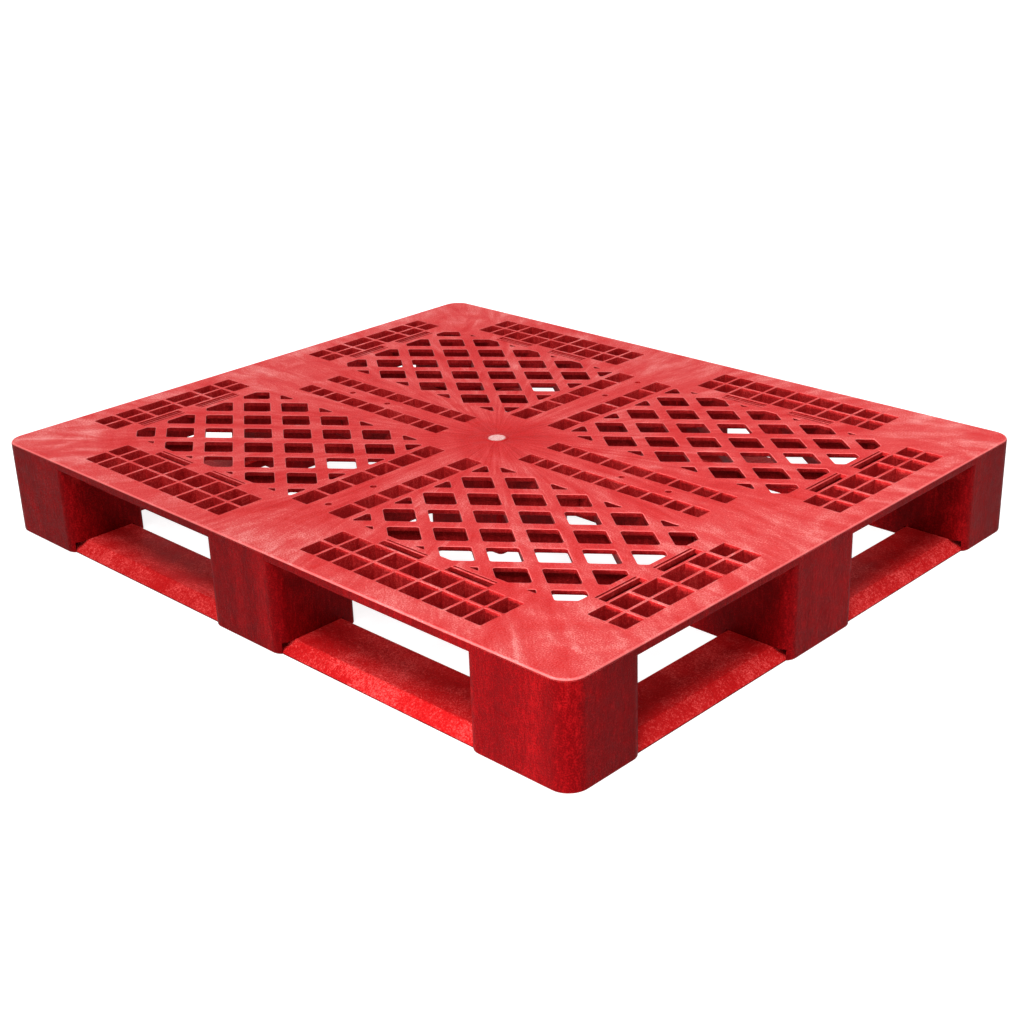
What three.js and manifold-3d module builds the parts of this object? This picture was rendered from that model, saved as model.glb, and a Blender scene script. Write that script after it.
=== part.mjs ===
// Plastic pallet, 1200 x 1000 mm, with an open grille deck on nine legs and a perimeter base.
// Millimetres, +Z up. The origin is on the floor under the middle of the deck, and +X runs along
// the long side. Every plan dimension is mirrored about both axes.
import * as THREE from "three";
import { mergeVertices } from "three/addons/utils/BufferGeometryUtils.js";
import Module from "manifold-3d";

const wasm = await Module();
wasm.setup();

// Overall size
const halfLength = 600;
const halfWidth = 500;
const height = 150;
const cornerRadius = 30;
const gap = 0.3;

// Deck levels: the skin on top, the deep ribs under it and the shallow lip round its edge
const skin = 7;
const skinBottom = height - skin;
const ribBottom = 110;
const lipBottom = 137.5;
const rib = 5.4;
const frameRib = 5;
const wall = 6;

// Legs
const legTop = lipBottom - gap;
const legHalf = 77;
const legRadius = 18;
const legInnerRadius = 8;
const cornerLegX = 432;
const cornerLegY = 370;
const sideLegY = 367;

// Runners of the base
const runnerTop = 17;
const runnerSkin = 6;
const runnerSide = wall + gap;
const runnerBevel = { width: 20, foot: 3 };
const longRunnerWidth = 104;
const longInner = halfWidth - runnerSide - longRunnerWidth;
const endRunnerWidth = 94;
const endInner = halfLength - runnerSide - endRunnerWidth;
const pocketsPerWindow = 4;

// Screws that hold the runners in the legs
const screw = { radius: 3, headRadius: 6.2, headLow: 2, headHigh: 7, tip: 52, point: 6 };
const bore = screw.radius + gap;
const counterbore = { radius: 7.5, top: screw.headHigh + gap };
const boss = { radius: 9, boreTop: 56 };
const roundSides = 6;
const through = [0, height + 1];

// Cells of the four grilles, listed outwards from the middle of the pallet
const armCells = [27, 27, 37, 37, 37, 37, 37, 27, 27];
const armStart = 88.6;
const armRow = [17, 45];
const edgeRows = [[386.6, 421.6], [427, 461.8]];
const columnX = [23.6, 56.4];
const columnStart = 89;
const columnCell = 40.3;
const columnCells = 6;
const endColumns = [[502.8, 529.7], [535.1, 562]];
const endCells = [33, 36.3, 49.4, 49.4, 36.3, 33];
const endStart = 89.4;
const endRib = 6.2;

// Slots between the lattice and the outer grilles
const sideSlots = [[154, 233], [281, 359.5]];
const sideSlotY = [364.8, 382];
const endSlots = [[128, 207.4], [239.4, 319]];
const endSlotX = [479, 498];

// Diagonal lattice that fills each bay
const bay = { x: [67.6, 470], y: [82.4, 356.4] };
const lattice = { x: 257.2, y: 223.2, pitchX: 50.4, pitchY: 38.2, strip: 20.3 };
const latticeRib = { width: 5.4, bottom: 116, every: 4 };
const bayCut = 18;

// Small drain holes along both arms
const drainRadius = 5;
const drainX = [252, 338];
const drainY = [254, 338];

const up = new THREE.Vector3(0, 0, 1);
const signs = [-1, 1];
const quadrants = signs.flatMap((sx) => signs.map((sy) => [sx, sy]));

const redPlastic = new THREE.MeshStandardMaterial({ color: 0xb3141c, roughness: 0.55, metalness: 0 });
const plainSteel = new THREE.MeshStandardMaterial({ color: 0xa9abad, roughness: 0.4, metalness: 1 });

// A closed three.js geometry as a solid that can be joined and cut
function solid(geometry) {
  const bare = geometry.clone();
  bare.deleteAttribute("normal");
  bare.deleteAttribute("uv");
  const merged = mergeVertices(bare, 1e-3);
  const vertProperties = new Float32Array(merged.attributes.position.array);
  const triVerts = new Uint32Array(merged.index.array);
  return new wasm.Manifold(new wasm.Mesh({ numProp: 3, vertProperties, triVerts }));
}

function named(body, name, material) {
  const data = body.getMesh();
  const geometry = new THREE.BufferGeometry();
  geometry.setAttribute("position", new THREE.BufferAttribute(data.vertProperties, 3));
  geometry.setIndex(new THREE.BufferAttribute(data.triVerts, 1));
  geometry.computeVertexNormals();
  const mesh = new THREE.Mesh(geometry, material);
  mesh.name = name;
  return mesh;
}

const joined = (parts) => wasm.Manifold.union(parts);

// A box between two values on each axis, given in either order
function box(x, y, z) {
  const size = [x, y, z].map(([a, b]) => Math.abs(b - a));
  const middle = [x, y, z].map(([a, b]) => (a + b) / 2);
  return solid(new THREE.BoxGeometry(...size).translate(...middle));
}

function post(x, y, radius, low, high) {
  const cylinder = new THREE.CylinderGeometry(radius, radius, high - low, roundSides);
  return solid(cylinder.rotateX(Math.PI / 2).translate(x, y, (low + high) / 2));
}

function prism(shape, low, high) {
  const options = { depth: high - low, bevelEnabled: false, curveSegments: 2 };
  return solid(new THREE.ExtrudeGeometry(shape, options).translate(0, 0, low));
}

// A rectangle with a quarter arc at each corner, whose radius may differ from corner to corner
function roundedRectangle(xs, ys, radiusAt) {
  const [x0, x1] = [Math.min(...xs), Math.max(...xs)];
  const [y0, y1] = [Math.min(...ys), Math.max(...ys)];
  const shape = new THREE.Shape();
  [[x0, y0], [x1, y0], [x1, y1], [x0, y1]].forEach(([x, y], turn) => {
    const radius = radiusAt(x, y);
    const centreX = x === x0 ? x + radius : x - radius;
    const centreY = y === y0 ? y + radius : y - radius;
    const start = Math.PI + (turn * Math.PI) / 2;
    shape.absarc(centreX, centreY, radius, start, start + Math.PI / 2, false);
  });
  return shape;
}

// Low and high edges of a run of cells, one after the other with a rib between them
function cellEdges(start, widths, between) {
  let low = start;
  return widths.map((width) => {
    const edges = [low, low + width];
    low += width + between;
    return edges;
  });
}

const mirrored = (edges, sign) => edges.map((edge) => edge * sign);

// Cells of one quadrant as [x edges, y edges], grouped by the grille they belong to
function grilles() {
  const armX = cellEdges(armStart, armCells, rib);
  const columnY = cellEdges(columnStart, Array(columnCells).fill(columnCell), rib);
  const endY = cellEdges(endStart, endCells, endRib);
  return [
    armX.map((x) => [x, armRow]),
    columnY.map((y) => [columnX, y]),
    edgeRows.flatMap((y) => armX.map((x) => [x, y])),
    endColumns.flatMap((x) => endY.map((y) => [x, y])),
  ];
}

// The bay that a lattice fills: a rectangle whose two outer corners are cut along the strips
function bayOpening(sx, sy) {
  const cutX = (bayCut * lattice.pitchX) / lattice.pitchY;
  const [[x0, x1], [y0, y1]] = [bay.x, bay.y];
  const points = [[x0, y0], [x1 - cutX, y0], [x1, y0 + bayCut], [x1, y1 - bayCut], [x1 - cutX, y1], [x0, y1]];
  return prism(new THREE.Shape(points.map(([x, y]) => new THREE.Vector2(x * sx, y * sy))), ...through);
}

// Everything that pierces the deck in one quadrant
function quadrantOpenings(sx, sy) {
  const cells = [
    ...grilles().flat(),
    ...sideSlots.map((x) => [x, sideSlotY]),
    ...endSlots.map((y) => [endSlotX, y]),
  ];
  return [bayOpening(sx, sy), ...cells.map(([x, y]) => box(mirrored(x, sx), mirrored(y, sy), through))];
}

function drains() {
  const centres = signs.flatMap((s) => [...drainX.map((x) => [x * s, 0]), ...drainY.map((y) => [0, y * s])]);
  return centres.map(([x, y]) => post(x, y, drainRadius, ...through));
}

// Under each grille a block reaches down to the fork tunnels; its cells leave only ribs of it
function grilleBlocks(sx, sy) {
  return grilles().map((cells) => {
    const xs = cells.flatMap(([x]) => x);
    const ys = cells.flatMap(([, y]) => y);
    return box(
      mirrored([Math.min(...xs) - rib, Math.max(...xs) + rib], sx),
      mirrored([Math.min(...ys) - rib, Math.max(...ys) + rib], sy),
      [ribBottom, height],
    );
  });
}

// One straight bar of the lattice: the line v - lean * u = step in lattice units
function latticeBar(sx, sy, lean, step, width, low, high) {
  const direction = Math.atan2(lean * lattice.pitchY, lattice.pitchX);
  const middle = [lattice.x - (lean * step * lattice.pitchX) / 2, lattice.y + (step * lattice.pitchY) / 2];
  const bar = new THREE.BoxGeometry(2 * (bay.x[1] - bay.x[0]), width, high - low);
  bar.rotateZ(direction * sx * sy).translate(middle[0] * sx, middle[1] * sy, (low + high) / 2);
  return solid(bar);
}

// Strips cross in both directions, and every second one carries a deep rib
function latticeFill(sx, sy) {
  const top = [];
  const ribs = [];
  for (const lean of signs) {
    for (let step = -10; step <= 10; step += 2) {
      top.push(latticeBar(sx, sy, lean, step, lattice.strip, skinBottom, height));
      if (step % latticeRib.every === 0) {
        ribs.push(latticeBar(sx, sy, lean, step, latticeRib.width, latticeRib.bottom, skinBottom));
      }
    }
  }
  const seat = 2;
  const reach = box(
    mirrored([bay.x[0] - seat, bay.x[1] + seat], sx),
    mirrored([bay.y[0] - seat, bay.y[1] + seat], sy),
    [latticeRib.bottom, height],
  );
  return joined([...top, ...ribs]).intersect(reach);
}

// Deep ribs round a bay, on the sides where no grille stands against it
function bayFrame(sx, sy) {
  const [[x0, x1], [y0, y1]] = [bay.x, bay.y];
  const bars = [
    [[x0 - frameRib, x1 + frameRib], [y0 - frameRib, y0]],
    [[x0 - frameRib, x1 + frameRib], [y1, y1 + frameRib]],
    [[x1, x1 + frameRib], [y0 - frameRib, y1 + frameRib]],
  ];
  return bars.map(([x, y]) => box(mirrored(x, sx), mirrored(y, sy), [ribBottom, skinBottom]));
}

// Everything within the pallet's rounded outline drawn in by an inset
function withinEdge(inset, low, high) {
  const xs = [inset - halfLength, halfLength - inset];
  const ys = [inset - halfWidth, halfWidth - inset];
  return prism(roundedRectangle(xs, ys, () => cornerRadius - inset), low, high);
}

function edgeLip() {
  return withinEdge(0, lipBottom, height).subtract(withinEdge(wall, lipBottom - 1, skinBottom));
}

// Legs as name, x edges, y edges, and the ribs and screw bosses inside
const longScrewX = 468;
const longScrewY = [415, 465];
const endScrewX = 547;
const endScrewY = [410, 462];
const sideScrewY = 440;
const pairedScrew = 35;

function cornerLeg(name, sx, sy) {
  return {
    name,
    x: mirrored([cornerLegX, halfLength], sx),
    y: mirrored([cornerLegY, halfWidth], sy),
    ribsX: [longScrewX * sx, endScrewX * sx],
    ribsY: [(longScrewY[0] + longScrewY[1]) / 2 * sy],
    screws: [
      ...longScrewY.map((y) => [longScrewX * sx, y * sy]),
      ...endScrewY.map((y) => [endScrewX * sx, y * sy]),
    ],
  };
}

function sideLeg(name, sy) {
  return {
    name,
    x: [-legHalf, legHalf],
    y: mirrored([sideLegY, halfWidth], sy),
    ribsX: [0],
    ribsY: [sideScrewY * sy],
    screws: signs.map((s) => [pairedScrew * s, sideScrewY * sy]),
  };
}

function endLeg(name, sx) {
  return {
    name,
    x: mirrored([cornerLegX, halfLength], sx),
    y: [-legHalf, legHalf],
    ribsX: [endScrewX * sx],
    ribsY: [0],
    screws: signs.map((s) => [endScrewX * sx, pairedScrew * s]),
  };
}

const legs = [
  cornerLeg("leg_front_left", -1, -1),
  sideLeg("leg_front_middle", -1),
  cornerLeg("leg_front_right", 1, -1),
  endLeg("leg_middle_left", -1),
  {
    name: "leg_centre",
    x: [-legHalf, legHalf],
    y: [-legHalf, legHalf],
    ribsX: [0],
    ribsY: [0],
    screws: [],
  },
  endLeg("leg_middle_right", 1),
  cornerLeg("leg_back_left", -1, 1),
  sideLeg("leg_back_middle", 1),
  cornerLeg("leg_back_right", 1, 1),
];

// Plan outline of a leg, drawn in by an inset. The radius is largest at the pallet's own corners,
// smaller where a leg meets the pallet's side, and smallest inside the pallet.
function legOutline(leg, inset) {
  const xs = [Math.min(...leg.x) + inset, Math.max(...leg.x) - inset];
  const ys = [Math.min(...leg.y) + inset, Math.max(...leg.y) - inset];
  return roundedRectangle(xs, ys, (x, y) => {
    const atEnd = Math.abs(x) === halfLength - inset;
    const atSide = Math.abs(y) === halfWidth - inset;
    if (atEnd && atSide) return cornerRadius - inset;
    return (atEnd || atSide ? legRadius : legInnerRadius) - inset;
  });
}

// Walls of a leg, open at the bottom and braced by ribs
function legWalls(leg) {
  const shell = prism(legOutline(leg, 0), 0, legTop).subtract(prism(legOutline(leg, wall), -1, legTop + 1));
  const half = rib / 2;
  const seat = wall / 2;
  const xs = [Math.min(...leg.x) + seat, Math.max(...leg.x) - seat];
  const ys = [Math.min(...leg.y) + seat, Math.max(...leg.y) - seat];
  const ribs = [
    ...leg.ribsX.map((x) => box([x - half, x + half], ys, [0, legTop])),
    ...leg.ribsY.map((y) => box(xs, [y - half, y + half], [0, legTop])),
  ];
  return joined([shell, ...ribs]);
}

function deck() {
  const plate = joined([
    edgeLip(),
    ...quadrants.flatMap(([sx, sy]) => [...grilleBlocks(sx, sy), ...bayFrame(sx, sy)]),
    ...legs.map((leg) => prism(legOutline(leg, 0), lipBottom, height)),
  ]);
  const openings = [...quadrants.flatMap(([sx, sy]) => quadrantOpenings(sx, sy)), ...drains()];
  return joined([plate.subtract(joined(openings)), ...quadrants.map(([sx, sy]) => latticeFill(sx, sy))]);
}

// Space for the four runners, with clearance, to cut out of the leg walls they pass through
function runnerSpace() {
  const strips = signs.flatMap((s) => [
    box([-halfLength, halfLength], mirrored([halfWidth, longInner - gap], s), [-1, runnerTop + gap]),
    box(mirrored([halfLength, endInner - gap], s), [-halfWidth, halfWidth], [-1, runnerTop + gap]),
  ]);
  return joined(strips).intersect(withinEdge(wall, -1, height));
}

function legBody(leg, space) {
  const bosses = leg.screws.map(([x, y]) => post(x, y, boss.radius, runnerTop, legTop));
  const bores = leg.screws.map(([x, y]) => post(x, y, bore, 0, boss.boreTop));
  return joined([legWalls(leg), ...bosses]).subtract(joined([space, ...bores]));
}

// Section of a runner across its width, from the side of the pallet inwards
function runnerSection(edge, width, sign) {
  const { width: slope, foot } = runnerBevel;
  const far = runnerSide + width;
  const points = [
    [runnerSide, 0], [runnerSide, foot], [runnerSide + slope, runnerTop],
    [far - foot, runnerTop], [far, runnerTop - foot], [far, 0],
  ];
  return new THREE.Shape(points.map(([d, z]) => new THREE.Vector2(sign * (edge - d), z)));
}

// A section drawn in across and up, carried along the third axis from -half to +half
function bar(section, half, across, along) {
  const geometry = new THREE.ExtrudeGeometry(section, { depth: 2 * half, bevelEnabled: false });
  geometry.translate(0, 0, -half);
  return solid(geometry.applyMatrix4(new THREE.Matrix4().makeBasis(across, up, along)));
}

function screwCuts([x, y]) {
  return [
    post(x, y, bore, -1, runnerTop + 1),
    post(x, y, counterbore.radius, -1, counterbore.top),
  ];
}

// Pockets under a runner leave a rib between each two and round all of them
function pocketEdges(low, high, count) {
  const width = (high - low - rib * (count + 1)) / count;
  return cellEdges(low + rib, Array(count).fill(width), rib);
}

// Pockets of both windows along a side, one on each side of the middle leg
const windowPockets = (low, high) =>
  signs.flatMap((s) => pocketEdges(low, high, pocketsPerWindow).map((edges) => mirrored(edges, s)));

const pocket = (x, y) => box(x, y, [-1, runnerTop - runnerSkin]);

function longRunner(sy) {
  const section = runnerSection(halfWidth, longRunnerWidth, sy);
  const rows = pocketEdges(longInner, halfWidth - runnerSide - runnerBevel.width + rib, 2);
  const windows = windowPockets(legHalf, cornerLegX);
  const pockets = windows.flatMap((x) => rows.map((y) => pocket(x, mirrored(y, sy))));
  return bar(section, endInner - gap, new THREE.Vector3(0, 1, 0), new THREE.Vector3(1, 0, 0))
    .subtract(joined([...pockets, ...longScrews(sy).flatMap(screwCuts)]));
}

function endRunner(sx) {
  const section = runnerSection(halfLength, endRunnerWidth, sx);
  const columns = pocketEdges(endInner, halfLength - runnerSide - runnerBevel.width + rib, 2);
  const windows = windowPockets(legHalf, cornerLegY);
  const pockets = windows.flatMap((y) => columns.map((x) => pocket(mirrored(x, sx), y)));
  return bar(section, halfWidth, new THREE.Vector3(1, 0, 0), new THREE.Vector3(0, -1, 0))
    .intersect(withinEdge(runnerSide, -1, height))
    .subtract(joined([...pockets, ...endScrews(sx).flatMap(screwCuts)]));
}

const longScrews = (sy) => [
  ...signs.map((s) => [pairedScrew * s, sideScrewY * sy]),
  ...signs.flatMap((s) => longScrewY.map((y) => [longScrewX * s, y * sy])),
];

const endScrews = (sx) => [
  ...signs.map((s) => [endScrewX * sx, pairedScrew * s]),
  ...signs.flatMap((s) => endScrewY.map((y) => [endScrewX * sx, y * s])),
];

function screwMesh(name, x, y) {
  const { radius, headRadius, headLow, headHigh, tip, point } = screw;
  const profile = [[0, headLow], [headRadius, headLow], [headRadius, headHigh], [radius, headHigh],
    [radius, tip - point], [0, tip]];
  const lathe = new THREE.LatheGeometry(profile.map((p) => new THREE.Vector2(...p)), roundSides);
  const mesh = named(solid(lathe.rotateX(Math.PI / 2)), name, plainSteel);
  mesh.position.set(x, y, 0);
  return mesh;
}

const pallet = new THREE.Group();
pallet.name = "pallet";
pallet.add(named(deck(), "deck", redPlastic));

const space = runnerSpace();
for (const leg of legs) pallet.add(named(legBody(leg, space), leg.name, redPlastic));

for (const [side, sign] of [["front", -1], ["back", 1]]) {
  pallet.add(named(longRunner(sign), `runner_${side}`, redPlastic));
  longScrews(sign).forEach(([x, y], i) => pallet.add(screwMesh(`screw_${side}_${i + 1}`, x, y)));
}
for (const [side, sign] of [["left", -1], ["right", 1]]) {
  pallet.add(named(endRunner(sign), `runner_${side}`, redPlastic));
  endScrews(sign).forEach(([x, y], i) => pallet.add(screwMesh(`screw_${side}_${i + 1}`, x, y)));
}

export default pallet;
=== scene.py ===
"""Plastic pallet, 1200 x 1000 mm: the looks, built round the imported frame. Shapes are in millimetres."""
import math

import bpy
import numpy as np
from mathutils import Euler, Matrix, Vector
from mathutils.geometry import tessellate_polygon


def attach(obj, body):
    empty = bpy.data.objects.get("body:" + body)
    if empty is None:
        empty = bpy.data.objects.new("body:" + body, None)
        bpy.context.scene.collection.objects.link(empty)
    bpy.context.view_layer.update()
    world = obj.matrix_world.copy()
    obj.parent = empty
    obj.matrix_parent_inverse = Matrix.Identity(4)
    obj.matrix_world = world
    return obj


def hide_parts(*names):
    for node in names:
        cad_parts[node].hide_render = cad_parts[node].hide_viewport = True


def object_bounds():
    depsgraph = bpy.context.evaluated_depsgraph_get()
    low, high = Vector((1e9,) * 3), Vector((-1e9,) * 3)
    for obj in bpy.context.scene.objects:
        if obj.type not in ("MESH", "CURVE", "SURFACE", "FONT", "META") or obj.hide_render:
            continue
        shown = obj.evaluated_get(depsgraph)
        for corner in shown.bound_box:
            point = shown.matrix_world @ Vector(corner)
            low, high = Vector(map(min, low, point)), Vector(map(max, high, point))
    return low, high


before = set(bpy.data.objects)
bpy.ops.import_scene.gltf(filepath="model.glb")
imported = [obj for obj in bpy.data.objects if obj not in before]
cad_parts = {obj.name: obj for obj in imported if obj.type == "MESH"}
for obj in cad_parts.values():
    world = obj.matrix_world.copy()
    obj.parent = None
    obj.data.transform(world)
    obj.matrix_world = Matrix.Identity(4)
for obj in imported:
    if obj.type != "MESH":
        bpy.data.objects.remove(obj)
cad_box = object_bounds()
MM = 0.001

# --- Camera -----------------------------------------------------------------------------------------
# A short telephoto stands off one corner, a little over twice the pallet's length away, and looks down
# on the deck.
view = {"azimuth": 44.70, "elevation": 23.28, "roll": 1.99, "distance": 2.412, "lens": 56.83}
aim = Vector((0.0963, -0.0698, cad_box[1][2] / 2))
camera = bpy.data.objects.new("camera", bpy.data.cameras.new("camera"))
camera.data.lens = view["lens"]
camera.data.sensor_width = 36
turn = Euler((math.radians(90 - view["elevation"]), 0, math.radians(view["azimuth"]))).to_matrix()
camera.location = aim + turn @ Vector((0, 0, view["distance"]))
camera.rotation_euler = (turn @ Euler((0, 0, math.radians(-view["roll"]))).to_matrix()).to_euler()
bpy.context.scene.collection.objects.link(camera)
bpy.context.scene.camera = camera
bpy.context.scene.view_settings.view_transform = "Standard"

# --- Deck -------------------------------------------------------------------------------------------
# The deck is one shot of high-density polyethylene structural foam. A 7 mm skin is pierced by the
# openings of four grilles and four lattice bays, and deep ribs stand under it.
HALF = np.array([600.0, 500.0])
TOP = 150.0
SKIN_LOW = 143.0
RIB_LOW = 110.0
LIP_LOW = 137.5
RIB = 5.4
CORNER = 30.0
FLUSH = 0.05
EDGE_ROUND = 3.2
HOLE_ROUND = 0.6
CELL_EASE = 0.6
DRAIN_RADIUS = 4.5
BURIED = TOP - 3


def rounded(corners, radius, steps=4):
    """Convex polygon whose corners become arcs. An arc's centre lies inward along both sides, and its
    points are centre + radius * (cos a, sin a) as a runs from one side's outward normal to the next."""
    corners = np.asarray(corners, float)
    before = corners - np.roll(corners, 1, axis=0)
    before /= np.linalg.norm(before, axis=1, keepdims=True)
    after = np.roll(before, -1, axis=0)
    bend = np.arccos(np.clip((before * after).sum(1), -1, 1))
    radius = np.broadcast_to(np.asarray(radius, float), bend.shape)
    inward = np.stack([-before[:, 1], before[:, 0]], 1)
    centre = corners - before * (radius * np.tan(bend / 2))[:, None] + inward * radius[:, None]
    start = np.arctan2(before[:, 1], before[:, 0]) - math.pi / 2
    angle = start[:, None] + bend[:, None] * np.linspace(0, 1, steps + 1)
    normal = np.stack([np.cos(angle), np.sin(angle)], -1)
    points = centre[:, None] + radius[:, None, None] * normal
    return points.reshape(-1, 2), normal.reshape(-1, 2)


def rings(loop, profile, opening=False):
    """A loop carried down a profile of (inset, height) pairs. The inset moves each point into the plastic
    along its normal, so an outline shrinks with it and an opening grows. Openings run clockwise."""
    points, normal = loop
    inset, level = np.asarray(profile, float).T
    side = 1 if opening else -1
    plan = points + side * inset[:, None, None] * normal
    stack = np.concatenate([plan, np.broadcast_to(level[:, None, None], plan.shape[:2] + (1,))], 2)
    return stack[:, ::-1] if opening else stack


def round_edge(radius, level, turn_down=True, steps=4):
    """Quarter circle from a flat face to the wall under it, or from the wall to the face below."""
    angle = np.linspace(0, math.pi / 2, steps + 1)
    inset, drop = radius * (1 - np.sin(angle)), radius * (1 - np.cos(angle))
    pairs = np.stack([inset, level - drop], 1)
    return pairs if turn_down else np.stack([inset, level + drop], 1)[::-1]


def wall_profile(high, low, top_round, low_round, draft=0.0):
    """Profile of a plain wall: a rounded top edge, the wall with its draft, and a rounded bottom edge."""
    foot = round_edge(low_round, low, turn_down=False)
    foot[:, 0] += draft
    return np.concatenate([round_edge(top_round, high), foot])


def body(through, blind=()):
    """Closed body between stacks of rings. Through stacks, the outline first, run from its top face to
    its bottom face; a blind one is a pocket that starts at its ceiling and ends in the bottom face."""
    stacks = list(through) + list(blind)
    starts = np.cumsum([0] + [s.shape[0] * s.shape[1] for s in stacks])
    points = np.concatenate([s.reshape(-1, 3) for s in stacks])
    faces = []
    for start, stack in zip(starts, stacks):
        levels, count = stack.shape[:2]
        index = start + np.arange(levels * count).reshape(levels, count)
        after = np.roll(index, -1, axis=1)
        quads = np.stack([index[:-1], index[1:], after[1:], after[:-1]], -1)
        faces += quads.reshape(-1, 4).tolist()

    def fill(members, level, facing):
        used = [starts[k] + (level % stacks[k].shape[0]) * stacks[k].shape[1] + np.arange(stacks[k].shape[1])
                for k in members]
        flat = np.concatenate(used)
        loops = [[Vector(p) for p in points[i]] for i in used]
        corners = flat[np.array(tessellate_polygon(loops))]
        a, b, c = (points[corners[:, i], :2] for i in range(3))
        area = np.cross(b - a, c - a)
        corners[area * facing < 0] = corners[area * facing < 0][:, ::-1]
        return corners[area != 0].tolist()

    faces += fill(range(len(through)), 0, 1)
    faces += fill(range(len(stacks)), -1, -1)
    for k in range(len(through), len(stacks)):
        faces += fill([k], 0, -1)
    return points, faces


def joined_mesh(name, bodies):
    """One mesh, in metres, from several bodies."""
    offset = np.cumsum([0] + [len(points) for points, _ in bodies])
    points = np.concatenate([points for points, _ in bodies]) * MM
    faces = [[v + shift for v in face] for shift, (_, part) in zip(offset.tolist(), bodies) for face in part]
    mesh = bpy.data.meshes.new(name)
    mesh.from_pydata(points, [], faces)
    mesh.validate()
    return mesh


def piece(name, bodies, material, nodes, notches=()):
    """Joins bodies into one object, cuts the notches out of it one by one, shades it smooth between sharp
    edges, and lets it stand for its CAD nodes."""
    made = bpy.data.objects.new(name, joined_mesh(name, bodies))
    bpy.context.scene.collection.objects.link(made)
    for notch in notches:
        cutter = bpy.data.objects.new("cutter", joined_mesh("cutter", [notch]))
        bpy.context.scene.collection.objects.link(cutter)
        cut = made.modifiers.new("notch", "BOOLEAN")
        cut.object, cut.operation, cut.solver = cutter, "DIFFERENCE", "EXACT"
        now = made.evaluated_get(bpy.context.evaluated_depsgraph_get())
        made.data = bpy.data.meshes.new_from_object(now)
        made.modifiers.remove(cut)
        bpy.data.objects.remove(cutter)
    made.data.name = name
    made.data.shade_smooth()
    made.data.set_sharp_from_angle(angle=math.radians(40))
    made.data.materials.clear()
    made.data.materials.append(material)
    weighted = made.modifiers.new("face_weighted_normals", "WEIGHTED_NORMAL")
    weighted.keep_sharp = True
    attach(made, "root")
    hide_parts(*nodes)
    return made


def rectangle(x, y):
    """Corners of a rectangle, anticlockwise, between two x and two y values given in either order."""
    (x0, x1), (y0, y1) = sorted(x), sorted(y)
    return [(x0, y0), (x1, y0), (x1, y1), (x0, y1)]


def runs(start, widths, between):
    """Low and high edges of cells laid one after the other with a rib between them."""
    low = start + np.concatenate([[0], np.cumsum(np.asarray(widths) + between)[:-1]])
    return np.stack([low, low + widths], 1)


# Cells of one quadrant, outwards from the middle; the other three are its mirror images.
arm_x = runs(88.6, [27, 27, 37, 37, 37, 37, 37, 27, 27], RIB)
column_y = runs(89, [40.3] * 6, RIB)
end_y = runs(89.4, [33, 36.3, 49.4, 49.4, 36.3, 33], 6.2)
grilles = [
    [(x, (17, 45)) for x in arm_x],
    [((23.6, 56.4), y) for y in column_y],
    [(x, y) for y in ((386.6, 421.6), (427, 461.8)) for x in arm_x],
    [(x, y) for x in ((502.8, 529.7), (535.1, 562)) for y in end_y],
]
quadrants = [np.array([sx, sy]) for sx in (-1, 1) for sy in (-1, 1)]


def mirror(corners, sign):
    """Corners of one quadrant carried to another, kept anticlockwise."""
    moved = np.asarray(corners, float) * sign
    return moved if sign.prod() > 0 else moved[::-1]


# Each pocket beside a grille is a slit and a wider slot with a thin rib between them.
pockets = []
for x in ((154, 233), (281, 359.5)):
    pockets += [rectangle(x, (364.8, 367.8)), rectangle(x, (370.4, 382))]
for y in ((128, 207.4), (239.4, 319)):
    pockets += [rectangle((479, 482.2), y), rectangle((485, 498), y)]

LATTICE_CENTRE = np.array([257.2, 223.2])
LATTICE_PITCH = np.array([50.4, 38.2])
LATTICE_HOLE = np.array([35.5, 26.9])
BAY = rectangle((67.6, 470), (82.4, 356.4))
BAY_CUT = 18.0


def bay_corners():
    """The bay's rectangle with its two outer corners cut parallel to the strips."""
    (x0, y0), (x1, _), (_, y1), _ = BAY
    cut = BAY_CUT * LATTICE_PITCH[0] / LATTICE_PITCH[1]
    return [(x0, y0), (x1 - cut, y0), (x1, y0 + BAY_CUT), (x1, y1 - BAY_CUT), (x1 - cut, y1), (x0, y1)]


def clip(polygon, boundary):
    """The part of a convex polygon inside an anticlockwise convex boundary, one side at a time."""
    for start, end in zip(boundary, np.roll(boundary, -1, axis=0)):
        along = np.subtract(end, start)
        inside = along[0] * (polygon[:, 1] - start[1]) - along[1] * (polygon[:, 0] - start[0])
        kept = []
        for p, q, a, b in zip(polygon, np.roll(polygon, -1, axis=0), inside, np.roll(inside, -1)):
            if a >= 0:
                kept.append(p)
            if a * b < 0:
                kept.append(p + (q - p) * a / (a - b))
        polygon = np.array(kept).reshape(-1, 2)
        if len(polygon) < 3:
            return polygon[:0]
    return polygon


def tidy(polygon, least=1.0):
    """Drops corners that are nearer than a set distance to the one before."""
    gap = np.linalg.norm(polygon - np.roll(polygon, 1, axis=0), axis=1)
    return polygon[gap > least]


def spans(polygon):
    """Area, and twice the area over the edge length, a circle's radius, which limits the rounding."""
    after = np.roll(polygon, -1, axis=0)
    area = 0.5 * np.cross(polygon, after).sum()
    return area, 2 * area / np.linalg.norm(after - polygon, axis=1).sum()


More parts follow.
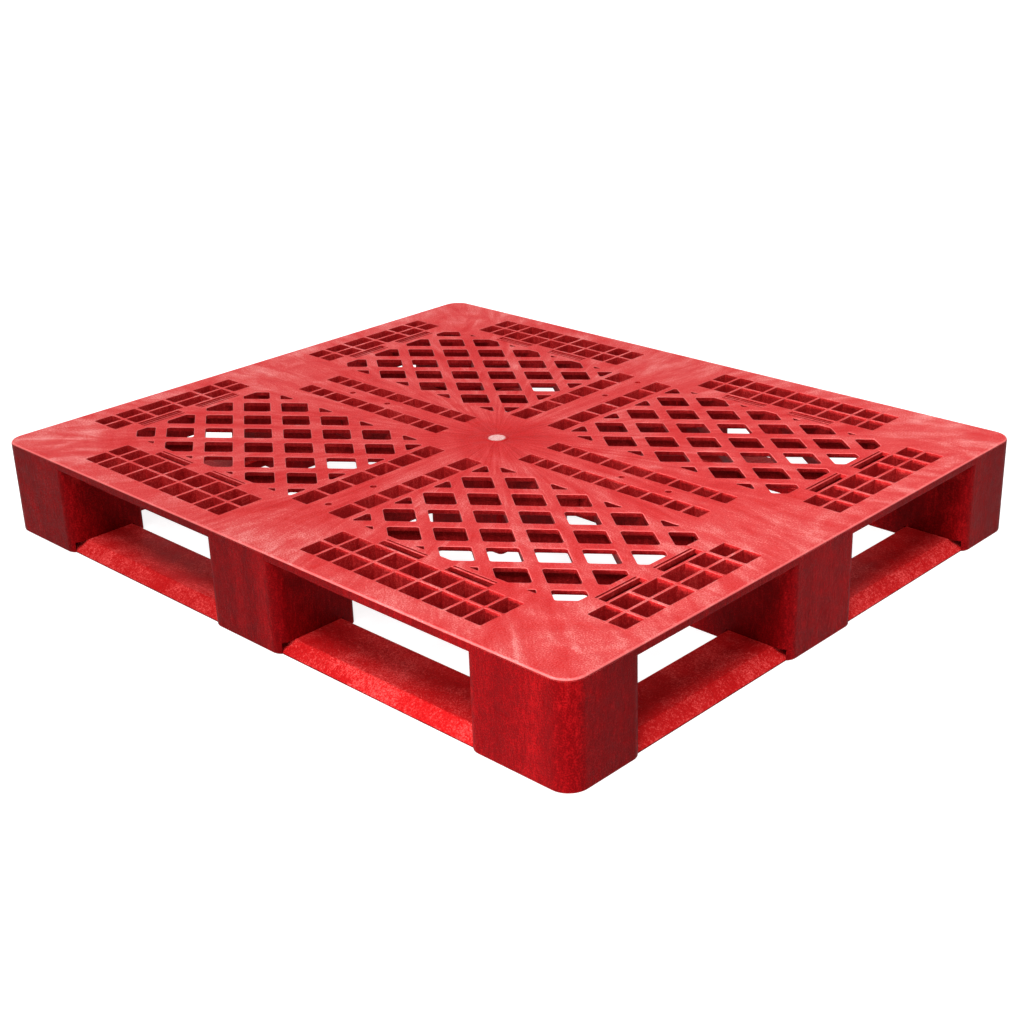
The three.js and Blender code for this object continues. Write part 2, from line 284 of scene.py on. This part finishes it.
def lattice_holes():
    """Diamonds whose column and row numbers add up to an odd number, each clipped to the bay."""
    diamond = np.array([(1, 0), (0, 1), (-1, 0), (0, -1)]) * LATTICE_HOLE
    boundary = np.array(bay_corners())
    found = []
    for column in range(-5, 6):
        for row in range(-5, 6):
            if (column + row) % 2 == 0:
                continue
            hole = clip(diamond + LATTICE_CENTRE + LATTICE_PITCH * (column, row), boundary)
            hole = tidy(hole) if len(hole) else hole
            if len(hole) > 2 and spans(hole)[0] > 30:
                found.append(hole)
    return found


def ring_at(centre, radius, count=24):
    """A circle as points with their outward normals."""
    angle = np.linspace(0, 2 * math.pi, count, endpoint=False)
    circle = np.stack([np.cos(angle), np.sin(angle)], 1)
    return np.add(centre, radius * circle), circle


def drains():
    """Twelve-sided outlines of the drain holes along both arms."""
    along_x = [(s * x, 0) for s in (-1, 1) for x in (252, 338)]
    along_y = [(0, s * y) for s in (-1, 1) for y in (254, 338)]
    return [ring_at(centre, DRAIN_RADIUS, 12) for centre in along_x + along_y]


def deck_skin():
    """The pierced skin. Its outer edge is rounded over, drops to the lip and returns under it."""
    lip = 6.0
    edge = np.concatenate([
        round_edge(EDGE_ROUND, TOP, steps=6), round_edge(1.5, LIP_LOW, turn_down=False),
        [(lip - 1, LIP_LOW), (lip, LIP_LOW + 1), (lip, SKIN_LOW)],
    ]) + (FLUSH, 0)
    outline = rounded(rectangle(*zip(-HALF, HALF)), CORNER, steps=10)
    hole = wall_profile(TOP, SKIN_LOW, HOLE_ROUND, 0.6) + (CELL_EASE, 0)
    slot = wall_profile(TOP, SKIN_LOW, 0.6, 0.4)
    diamond = wall_profile(TOP, SKIN_LOW, 1.2, 0.8)
    stacks = [rings(outline, edge)]
    for sign in quadrants:
        cells = [rectangle(x, y) for grille in grilles for x, y in grille]
        stacks += [rings(rounded(mirror(c, sign), 1.2, 2), hole, True) for c in cells]
        stacks += [rings(rounded(mirror(c, sign), 0.8, 2), slot, True) for c in pockets]
        for corners in lattice_holes():
            radius = min(4.5, 0.35 * spans(corners)[1])
            stacks.append(rings(rounded(mirror(corners, sign), radius), diamond, True))
    stacks += [rings(loop, hole, True) for loop in drains()]
    return body(stacks)


def grille_ribs(sign):
    """Under each grille, a block from the fork tunnel up into the skin, cut through by its cells."""
    made = []
    for cells in grilles:
        xs = np.concatenate([x for x, _ in cells])
        ys = np.concatenate([y for _, y in cells])
        outline = rectangle((xs.min() - RIB, xs.max() + RIB), (ys.min() - RIB, ys.max() + RIB))
        block = rings(rounded(mirror(outline, sign), 2, 2), wall_profile(BURIED, RIB_LOW, 0.5, 1.2, 0.5))
        cell = wall_profile(BURIED, RIB_LOW, 0.3, 1.0, 0.5) + (CELL_EASE + 0.1, 0)
        corners = [mirror(rectangle(x, y), sign) for x, y in cells]
        made.append(body([block] + [rings(rounded(c, 1.5, 2), cell, True) for c in corners]))
    return made


def plank(start, end, thick, low, sign, draft=0.6):
    """A straight upright rib between two points of the plan, buried in the skin at its top."""
    start, end = np.asarray(start, float), np.asarray(end, float)
    along = (end - start) / np.linalg.norm(end - start)
    across = np.array([-along[1], along[0]]) * thick / 2
    corners = [start - across, end - across, end + across, start + across]
    return body([rings(rounded(mirror(corners, sign), 0.8, 2), wall_profile(BURIED, low, 0.5, 1.0, draft))])


def lattice_ribs(sign):
    """Deep ribs under every second strip of the lattice, in both directions, cut off at the bay's edge."""
    boundary = np.array(bay_corners())
    lows = {1: 116.0, -1: 117.0}
    made = []
    for lean in (1, -1):
        for step in (-4, 0, 4):
            middle = LATTICE_CENTRE + LATTICE_PITCH * (-lean * step / 2, step / 2)
            along = LATTICE_PITCH * (1, lean)
            side = np.array([-along[1], along[0]]) / np.linalg.norm(along)
            far = 12 * along
            strip = middle + np.array([-far - side, far - side, far + side, side - far])
            kept = clip(strip, boundary)
            reach = (kept - middle) @ along / (along @ along)
            start, end = middle + along * reach.min(), middle + along * reach.max()
            made.append(plank(start, end, RIB, lows[lean], sign))
    return made


def brace_ribs(sign):
    """Straight ribs that frame each bay, tie the arms to the legs, and stand under the deck's border."""
    made = []
    frame_low = RIB_LOW + 0.8
    for start, end in (
        ((62, 79.7), (478, 79.7)), ((62, 359.2), (478, 359.2)),
        ((472.7, 79), (472.7, 362)), ((64.7, 79), (64.7, 362)),
    ):
        made.append(plank(start, end, 5.2, frame_low, sign))
    for x in (118, 190, 274.5, 359, 400):
        made.append(plank((x, 466), (x, 495), 4.5, LIP_LOW + 0.7, sign))
        made.append(plank((x, 50), (x, 78), 4.5, frame_low + 8, sign))
        made.append(plank((x, -0.5), (x, 12), 4.5, frame_low + 8, sign))
    for y in (105, 167.6, 223.2, 279, 341):
        made.append(plank((566, y), (595, y), 4.5, LIP_LOW + 0.7, sign))
        made.append(plank((-0.5, y), (19, y), 4.5, frame_low + 8, sign))
    return made


def srgb(text):
    """A hex colour as the linear values that the shader takes."""
    part = np.array([int(text[i:i + 2], 16) for i in (0, 2, 4)]) / 255
    linear = np.where(part <= 0.04045, part / 12.92, ((part + 0.055) / 1.055) ** 2.4)
    return (*linear.tolist(), 1.0)


def node(tree, kind, output=0, **settings):
    """Adds a shader node and gives one of its outputs. Settings name its properties, the stops of its colour
    ramp, or its inputs, by name or number, as 'in_...'. An input takes a value or another node's output."""
    made = tree.nodes.new("ShaderNode" + kind)
    for key, value in settings.items():
        if key == "stops":
            elements = made.color_ramp.elements
            while len(elements) < len(value):
                elements.new(0.5)
            for element, (position, colour) in zip(elements, value):
                element.position = position
                element.color = srgb(colour)
        elif key.startswith("in_"):
            label = key[3:]
            socket = made.inputs[int(label) if label.isdigit() else label.replace("_", " ")]
            if isinstance(value, bpy.types.NodeSocket):
                tree.links.new(value, socket)
            else:
                socket.default_value = value
        else:
            setattr(made, key, value)
    return made.outputs[output]


def new_material(name):
    """A material with only its Principled shader, which this gives back with the node tree."""
    material = bpy.data.materials.new(name)
    material.use_nodes = True
    return material, material.node_tree, material.node_tree.nodes["Principled BSDF"]


def structural_foam():
    """Red HDPE structural foam, moulded and then used. Gas in the melt leaves a silvery swirl that runs out
    from the gate in the middle of the deck. Upward faces are painted paler, a painted sheen from the light
    above. The deck is a little paler towards its edges, and its rounded edges are paler still as a painted
    highlight, while the sides are painted deep red as shade and keep the fine grain of the skin."""
    material, tree, shader = new_material("hdpe_structural_foam_red")

    def product(*factors):
        """The factors multiplied together."""
        amount, *others = factors
        for other in others:
            amount = node(tree, "Math", operation="MULTIPLY", in_0=amount, in_1=other)
        return amount

    def total(*shares):
        """The sum of (amount, weight) shares, each amount times its weight."""
        amount, *others = [product(*share) for share in shares]
        for other in others:
            amount = node(tree, "Math", operation="ADD", in_0=amount, in_1=other)
        return amount

    def inside(from_edge, half, low, high):
        """Distance inside two lines of the plan, from the distance to the pallet's edge."""
        to_low = node(tree, "Math", operation="SUBTRACT", in_0=(half - low) * MM, in_1=from_edge)
        to_high = node(tree, "Math", operation="SUBTRACT", in_0=from_edge, in_1=(half - high) * MM)
        return node(tree, "Math", operation="MINIMUM", in_0=to_high, in_1=to_low)

    place = node(tree, "TexCoord", output="Object")
    x, y, z = node(tree, "SeparateXYZ", in_0=place).node.outputs
    plan = node(tree, "CombineXYZ", in_0=x, in_1=y)
    outward = node(tree, "VectorMath", operation="NORMALIZE", in_0=plan)
    radius = node(tree, "VectorMath", output="Value", operation="LENGTH", in_0=plan)
    spokes = node(tree, "VectorMath", operation="SCALE", in_0=outward, in_3=11.0)
    run_out = node(tree, "CombineXYZ", in_2=product(radius, 5.0))
    flow = node(tree, "VectorMath", operation="ADD", in_0=spokes, in_1=run_out)
    tall = node(tree, "Mapping", in_Vector=place, in_Scale=(220, 220, 60))
    broad = node(tree, "Mapping", in_Vector=place, in_Scale=(14, 14, 2.5))
    streak, swirl, cloud, grain, drag, band = [
        node(tree, "TexNoise", in_Vector=where, in_Scale=scale, in_Detail=detail, in_Roughness=roughness,
             in_Distortion=distortion)
        for where, scale, detail, roughness, distortion in (
            (flow, 1.6, 6.0, 0.65, 0.8), (place, 6.0, 7.0, 0.62, 1.8), (place, 34.0, 5.0, 0.7, 0.6),
            (place, 480.0, 2.0, 0.7, 0.0), (tall, 1.0, 4.0, 0.6, 0.0), (broad, 1.0, 3.0, 0.5, 1.0),
        )
    ]

    # Distances in from the deck's edge, and how far inside a lattice bay a point lies.
    from_x, from_y = [
        node(tree, "Math", operation="SUBTRACT", in_0=half * MM,
             in_1=node(tree, "Math", operation="ABSOLUTE", in_0=along))
        for half, along in zip(HALF, (x, y))
    ]
    depth = node(tree, "Math", operation="MINIMUM", in_0=from_x, in_1=from_y)
    (x0, y0), _, (x1, y1), _ = BAY
    bay_x = inside(from_x, HALF[0], x0 - 1.6, x1 + 1)
    bay_y = inside(from_y, HALF[1], y0 - 1.4, y1 + 0.6)
    in_bay = node(tree, "Math", operation="MINIMUM", in_0=bay_x, in_1=bay_y)
    _, _, up = node(tree, "SeparateXYZ", in_0=node(tree, "NewGeometry", output="Normal")).node.outputs

    # Each mask rises smoothly from 0 to 1 between two values of what it follows: a distance in metres, or
    # how far up the surface faces.
    mask = {
        name: node(tree, "MapRange", interpolation_type="SMOOTHSTEP", in_0=follows, in_1=start, in_2=end)
        for name, follows, start, end in (
            ("at_border", depth, 0.15, 0.0), ("off_the_edge", depth, 0.006, 0.02),
            ("outside_bay", in_bay, 0.001, -0.001),
            ("on_deck", z, 0.135, 0.144), ("on_high_ribs", z, 0.105, 0.15),
            ("upward", up, 0.25, 0.75), ("off_the_wall", up, 0.15, 0.55), ("off_the_flat", up, 0.99, 0.93),
            ("near_gate", radius, 0.13, 0.02), ("gate", radius, 0.0145, 0.0115),
            ("in_ring", radius, 0.0185, 0.0165), ("past_gate", radius, 0.0135, 0.0155),
        )
    }

    # Haze from clear red to silvery: flow streaks, swirl and cloud, cleared round the gate and a little paler
    # towards the deck's edges. This ramp is used only on upward faces of the deck, and its paleness is a
    # painted sheen.
    haze = total((streak, 0.5), (swirl, 0.35), (cloud, 0.2), (grain, 0.55), (mask["near_gate"], -0.12),
                 (mask["at_border"], 0.05))
    deck_haze_and_painted_sheen = node(tree, "ValToRGB", in_0=haze, stops=[(0.57, "b80c10"), (0.73, "d2282a"), (0.87, "de4e4d"),
                                                        (1.0, "f29490")])

    # Painted light and shade: the sides are painted deep red as shade, and walls near the deck top are
    # brighter as painted light. They are less bright deeper down and inside the lattice bays. Upward faces
    # below the deck, such as the runners' tops, are brightest as painted light.
    mottle = total((drag, 0.25), (grain, 0.4), (cloud, 0.15), (band, 0.2))
    painted_shade_side_red, painted_lit_wall_red, painted_lit_low_red = [
        node(tree, "ValToRGB", in_0=mottle, stops=list(zip((0.36, 0.5, 0.64), shades)))
        for shades in (
            ("4c0204", "660306", "960c10"), ("901214", "b82224", "de4442"), ("a60a0e", "b41416", "e85452"),
        )
    ]
    # Share of painted light on the walls: it rises with height, falls off at the outer sides and is cut down
    # inside the lattice bays.
    painted_bay_shade_factor = node(tree, "Math", operation="MAXIMUM", in_0=mask["outside_bay"], in_1=0.35)
    painted_wall_light_share = product(mask["on_high_ribs"], mask["off_the_edge"], painted_bay_shade_factor)

    # Rounded edges on top of the deck get a painted pale-pink highlight. The gate, where the sprue was cut, is
    # a rough pale disc in a low ring.
    painted_edge_highlight = product(mask["off_the_wall"], mask["off_the_flat"], mask["on_deck"], 0.45)
    chalk = node(tree, "ValToRGB", in_0=grain, stops=[(0.38, "e07472"), (0.56, "f7d6d2")])
    disc = product(mask["gate"], mask["on_deck"], 0.9)

    # Walls blend from the painted shade colour to the painted lit colour.
    walls_painted_light_and_shade = node(tree, "Mix", output=2, data_type="RGBA", in_0=painted_wall_light_share, in_6=painted_shade_side_red, in_7=painted_lit_wall_red)
    # Upward faces take a painted lit colour: the deck's painted sheen on top and a brighter red below the
    # deck.
    painted_lit_up_red = node(tree, "Mix", output=2, data_type="RGBA", in_0=mask["on_deck"], in_6=painted_lit_low_red, in_7=deck_haze_and_painted_sheen)
    # Rounded deck edges take the painted highlight, and the gate takes its pale disc.
    skin = walls_painted_light_and_shade
    for share, colour in ((mask["upward"], painted_lit_up_red), (painted_edge_highlight, srgb("f08380")), (disc, chalk)):
        skin = node(tree, "Mix", output=2, data_type="RGBA", in_0=share, in_6=skin, in_7=colour)

    gloss = node(tree, "MapRange", in_0=cloud, in_1=0.3, in_2=0.7, in_3=0.45, in_4=0.62)
    shine = node(tree, "MapRange", in_0=mask["upward"], in_3=0.03, in_4=0.16)
    ring = product(mask["in_ring"], mask["past_gate"])
    height = total((grain, 0.5), (cloud, 1.0), (ring, 1.2))
    bump = node(tree, "Bump", in_Height=height, in_Strength=0.7, in_Distance=0.0018)
    tree.links.new(skin, shader.inputs["Base Color"])
    tree.links.new(gloss, shader.inputs["Roughness"])
    tree.links.new(shine, shader.inputs["Specular IOR Level"])
    tree.links.new(bump, shader.inputs["Normal"])
    shader.inputs["IOR"].default_value = 1.5
    shader.inputs["Specular Tint"].default_value = srgb("ff9a96")
    return material


foam = structural_foam()
deck_bodies = [deck_skin()]
for quadrant in quadrants:
    deck_bodies += grille_ribs(quadrant) + lattice_ribs(quadrant) + brace_ribs(quadrant)
piece("deck_moulding", deck_bodies, foam, ["deck"])

# --- Legs -------------------------------------------------------------------------------------------
# Nine hollow legs belong to the same shot as the deck and run into its edge without a joint. They are
# open below, braced by ribs, and the outer ones are notched for the runners.
LEG_HALF = 77.0
LEG_ROUND = 18.0
LEG_INNER_ROUND = 8.0
WALL = 6.0
RUNNER_TOP = 17.0
GAP = 0.3
RUNNER_SIDE = WALL + GAP
LONG_RUNNER_WIDTH = 104.0
END_RUNNER_WIDTH = 94.0
LONG_RUNNER_END = HALF[0] - RUNNER_SIDE - END_RUNNER_WIDTH - GAP
SIDE_LEG_INNER = 367.0
CORNER_LEG_INNER = (432.0, 370.0)
INNER_RIB = 468.0
OUTER_RIB = 547.0
SIDE_RIB = 440.0


def leg_plan(column, row):
    """Plan box of a leg: the outer ones reach the pallet's edge, the middle ones straddle an axis."""
    inner = np.array([CORNER_LEG_INNER[0], SIDE_LEG_INNER if column == 0 else CORNER_LEG_INNER[1]])
    where = np.array([column, row])
    low = np.where(where < 0, -HALF, np.where(where > 0, inner, -LEG_HALF))
    high = np.where(where < 0, -inner, np.where(where > 0, HALF, LEG_HALF))
    return low, high


def leg_radii(corners, inset):
    """Radius at each corner of a leg drawn in by an inset: largest at the pallet's own corners, smaller
    where a leg meets the pallet's side, and smallest inside the pallet."""
    on_side = (np.abs(np.abs(corners) - (HALF - inset)) < 1e-6).sum(axis=1)
    return np.choose(on_side, [LEG_INNER_ROUND, LEG_ROUND, CORNER]) - inset


def leg(column, row):
    """A leg as a block cut through by its cores, with the wall and the ribs left between them."""
    low, high = leg_plan(column, row)
    corners = np.array(rectangle(*zip(low, high)))
    outline = rounded(corners, leg_radii(corners, 0), steps=10)
    walls = wall_profile(TOP - EDGE_ROUND - 0.2, 0, 0.1, 2.5)
    core = wall_profile(TOP - 8, 0, 1.0, 1.0)
    rib_x = [0] if column == 0 else [column * x for x in ((INNER_RIB, OUTER_RIB) if row else (OUTER_RIB,))]
    rib_y = [row * SIDE_RIB]
    xs, ys = sorted([low[0], *rib_x, high[0]]), sorted([low[1], *rib_y, high[1]])
    half = RIB / 2
    cores = []
    for x0, x1 in zip(xs, xs[1:]):
        for y0, y1 in zip(ys, ys[1:]):
            x_in = x0 + (WALL if x0 == xs[0] else half), x1 - (WALL if x1 == xs[-1] else half)
            y_in = y0 + (WALL if y0 == ys[0] else half), y1 - (WALL if y1 == ys[-1] else half)
            cell = np.array(rectangle(x_in, y_in))
            at_wall_x = np.isin(cell[:, 0], (xs[0] + WALL, xs[-1] - WALL))
            at_leg_corner = at_wall_x & np.isin(cell[:, 1], (ys[0] + WALL, ys[-1] - WALL))
            radius = np.where(at_leg_corner, leg_radii(cell, WALL), 3.0)
            cores.append(rings(rounded(cell, radius, 5), core, True))
    return body([rings(outline, walls)] + cores)


def runner_notches(column, row):
    """Bodies to cut from the foot of a leg where the long runner and the end runner pass through it."""
    low = HALF - RUNNER_SIDE - (END_RUNNER_WIDTH, LONG_RUNNER_WIDTH) - GAP
    high = HALF - WALL
    clear = 90.0
    well_inside = 340.0
    notches = []
    for axis, side in ((1, row), (0, column)):
        if not side:
            continue
        reach = [(-clear, clear), (-clear, clear)]
        for k, sign in enumerate((column, row)):
            if sign:
                reach[k] = (sign * well_inside, sign * high[k])
        reach[axis] = (side * low[axis], side * high[axis])
        corners = np.array(rectangle(*reach))
        outermost = np.all(np.abs(np.abs(corners) - high) < 1e-6, axis=1)
        outline = rounded(corners, np.where(outermost, CORNER - WALL, 0.5), 6)
        notches.append(body([rings(outline, [(0, RUNNER_TOP + GAP), (0, -1)])]))
    return notches


columns = {"left": -1, "middle": 0, "right": 1}
rows = {"front": -1, "middle": 0, "back": 1}
for row_name, row in rows.items():
    for column_name, column in columns.items():
        leg_name = "leg_centre" if row == column == 0 else f"leg_{row_name}_{column_name}"
        piece(leg_name, [leg(column, row)], foam, [leg_name], notches=runner_notches(column, row))

# --- Runners ----------------------------------------------------------------------------------------
# Four runners close the base: two long ones between the two end ones. Each is a separate foam moulding
# with a wide bevel along its outer side, pockets below, and a counterbore for each of its screws.
BEVEL = 20.0
POCKET_ROOF = 11.0
POCKETS = 4
BORE_ROOF = 7.3
BORE_RADIUS = 7.5


def runner(edge, width, reach, turned, corner, window, screw_places):
    """A runner lying along x or, turned, along y. Its section is given on both sides as pairs of height
    and distance from the pallet's edge; pockets fill both windows between the legs."""
    far = RUNNER_SIDE + width
    outer = np.array([(0, 0.7), (0.7, 0), (2.4, 0), (3.4, 0.9), (16.2, 19), (16.8, 20.3), (RUNNER_TOP, 21.9)])
    outer += (0, RUNNER_SIDE)
    inner = np.array([(0, 0.8), (0.8, 0), (13.6, 0), (14.3, 0.5), (16.5, 2.7), (RUNNER_TOP, 4)])
    inner = (0, far) + inner * (1, -1)
    levels = np.unique(np.concatenate([outer[:, 0], inner[:, 0]]))[::-1]

    def across(corners):
        """Corners given as (along, across) laid out in the plan, still anticlockwise."""
        corners = np.array(corners, float) * (1, np.sign(edge))
        corners = corners[:, ::-1] if turned else corners
        flipped = turned != (edge < 0)
        return corners[::-1] if flipped else corners

    stack = []
    for z in levels:
        near = abs(edge) - np.interp(z, *outer.T)
        away = abs(edge) - np.interp(z, *inner.T)
        corners = across([(-reach, away), (reach, away), (reach, near), (-reach, near)])
        at_edge = np.isclose(np.abs(corners[:, 0 if turned else 1]), near)
        points, _ = rounded(corners, np.where(at_edge, corner, 1.0), 5)
        stack.append(np.column_stack([points, np.full(len(points), z)]))

    blind = []
    foot = round_edge(0.8, 0, turn_down=False) + (0.4, 0)
    ceiling = [(-1.2, POCKET_ROOF), (-0.35, POCKET_ROOF - 0.4), (0, POCKET_ROOF - 1.4)]
    pocket_wall = np.concatenate([ceiling, foot])
    rows_across = runs(abs(edge) - far + RIB, [(width - BEVEL - 2 * RIB) / 2] * 2, RIB)
    low, high = window
    pocket = (high - low - (POCKETS + 1) * RIB) / POCKETS
    for x in runs(low + RIB, [pocket] * POCKETS, RIB):
        for y0, y1 in rows_across:
            for s in (-1, 1):
                x0, x1 = sorted(s * x)
                cell = across([(x0, y0), (x1, y0), (x1, y1), (x0, y1)])
                blind.append(rings(rounded(cell, 2.5, 3), pocket_wall, True))
    bore = [(0, BORE_ROOF), (0, 0.5), (0.5, 0)]
    blind += [rings(ring_at(where, BORE_RADIUS), bore, True) for where in screw_places]
    return body([np.array(stack)], blind)


long_screws = [(s * 35, SIDE_RIB) for s in (-1, 1)] + [(s * INNER_RIB, y) for s in (-1, 1) for y in (415, 465)]
end_screws = [(OUTER_RIB, s * 35) for s in (-1, 1)] + [(OUTER_RIB, s * y) for s in (-1, 1) for y in (410, 462)]
screws = {}
for side, sign in (("front", -1), ("back", 1)):
    screws[side] = [(x, sign * y) for x, y in long_screws]
    window = (LEG_HALF, CORNER_LEG_INNER[0])
    made = runner(sign * HALF[1], LONG_RUNNER_WIDTH, LONG_RUNNER_END, False, 1.0, window, screws[side])
    piece(f"runner_{side}_moulding", [made], foam, [f"runner_{side}"])
for side, sign in (("left", -1), ("right", 1)):
    screws[side] = [(sign * x, y) for x, y in end_screws]
    window = (LEG_HALF, CORNER_LEG_INNER[1])
    end, corner = HALF[1] - RUNNER_SIDE, CORNER - RUNNER_SIDE
    made = runner(sign * HALF[0], END_RUNNER_WIDTH, end, True, corner, window, screws[side])
    piece(f"runner_{side}_moulding", [made], foam, [f"runner_{side}"])

# --- Screws -----------------------------------------------------------------------------------------
# Twenty-four zinc-plated steel screws, six to a runner, driven up from below into the ribs of the legs.
# Each has a flat head sunk in its counterbore, a hexagon socket and a coarse thread for plastic.
SHANK = 3.0
THREAD_DEPTH = 0.75
THREAD_PITCH = 3.0


def zinc_plate():
    """Bright zinc on steel, a little cloudy from the plating bath."""
    material, tree, shader = new_material("zinc_plated_steel")
    place = node(tree, "TexCoord", output="Object")
    cloud = node(tree, "TexNoise", in_Vector=place, in_Scale=300.0, in_Detail=3.0)
    dull = node(tree, "MapRange", in_0=cloud, in_1=0.3, in_2=0.7, in_3=0.28, in_4=0.46)
    tint = node(tree, "ValToRGB", in_0=cloud, stops=[(0.3, "b4b8bb"), (0.7, "cfd0cd")])
    tree.links.new(tint, shader.inputs["Base Color"])
    tree.links.new(dull, shader.inputs["Roughness"])
    shader.inputs["Metallic"].default_value = 1.0
    return material


def screw(where):
    """A screw from its point down to its head, with the socket as a blind hexagon."""
    _, circle = ring_at((0, 0), 1.0)
    part_turn = np.arange(len(circle)) / len(circle)
    thread_level = np.arange(46.0, 12.0, -0.6)
    phase = (part_turn + thread_level[:, None] / THREAD_PITCH) % 1.0
    thread = SHANK - THREAD_DEPTH * np.clip(np.abs(2 * phase - 1) * 2.0 - 0.4, 0, 1)
    point = [(0.3, 52.0), (1.5, 49.0)]
    head = [(2.4, 11.0), (2.4, 7.0), (5.9, 7.0), (6.2, 6.6), (6.2, 2.8), (5.9, 2.2), (5.4, 2.0)]
    levels = [*point, *zip(thread[..., None], thread_level), *head]
    stack = [np.column_stack([circle * r, np.full(len(circle), z)]) for r, z in levels]
    socket = rings(ring_at((0, 0), 2.6, 6), [(-0.4, 4.6), (0, 4.4), (0, 2.2), (0.2, 2.0)], True)
    shift = (*where, 0)
    return body([np.array(stack) + shift], [socket + shift])


zinc = zinc_plate()
for side, places in screws.items():
    for number, where in enumerate(places, 1):
        name = f"screw_{side}_{number}"
        piece(name + "_steel", [screw(where)], zinc, [name])

# --- Floor and light --------------------------------------------------------------------------------
# A plain white light table, so no dark shadow falls on it. A broad soft key stands above and behind the
# camera, a soft spot lifts the near corner, and the pale room fills the rest.
sweep = [(18.0, 0.0), (19.5, 0.2), (20.6, 0.9), (21.1, 2.0), (21.2, 4.0)]
count = 48
spoke = np.linspace(0, 2 * math.pi, count, endpoint=False)
sweep_points = [(r * math.cos(a), r * math.sin(a), z) for r, z in sweep for a in spoke]
sweep_faces = [list(range(count))]
for low in range(0, count * (len(sweep) - 1), count):
    for i in range(count):
        j = (i + 1) % count
        sweep_faces.append([low + i, low + count + i, low + count + j, low + j])
floor_mesh = bpy.data.meshes.new("floor")
floor_mesh.from_pydata(sweep_points, [], sweep_faces)
floor_mesh.shade_smooth()
floor = bpy.data.objects.new("floor", floor_mesh)
bpy.context.scene.collection.objects.link(floor)
floor_paint, _, floor_shader = new_material("backlit_white_acrylic")
floor_shader.inputs["Base Color"].default_value = srgb("a8a8a8")
floor_shader.inputs["Emission Color"].default_value = srgb("ffffff")
floor_shader.inputs["Emission Strength"].default_value = 0.88
floor_shader.inputs["Roughness"].default_value = 0.9
floor_mesh.materials.append(floor_paint)

key = bpy.data.lights.new("overhead_key", "SUN")
key.energy = 3.1
key.angle = math.radians(25)
key_light = bpy.data.objects.new("overhead_key", key)
key_light.rotation_euler = Vector((-0.35, 0.55, -1.25)).to_track_quat("-Z", "Y").to_euler()
bpy.context.scene.collection.objects.link(key_light)
near = bpy.data.lights.new("near_corner_spot", "SPOT")
near.energy = 900
near.spot_size = math.radians(17)
near.spot_blend = 1.0
near.shadow_soft_size = 0.4
near_light = bpy.data.objects.new("near_corner_spot", near)
near_light.location = (0.45, -2.6, 0.3)
lit_corner = Vector((0.53, -0.5, 0.09))
near_light.rotation_euler = (lit_corner - near_light.location).to_track_quat("-Z", "Y").to_euler()
bpy.context.scene.collection.objects.link(near_light)
world = bpy.data.worlds.new("studio")
bpy.context.scene.world = world
world.use_nodes = True
world.node_tree.nodes["Background"].inputs["Color"].default_value = srgb("ffffff")
world.node_tree.nodes["Background"].inputs["Strength"].default_value = 0.2
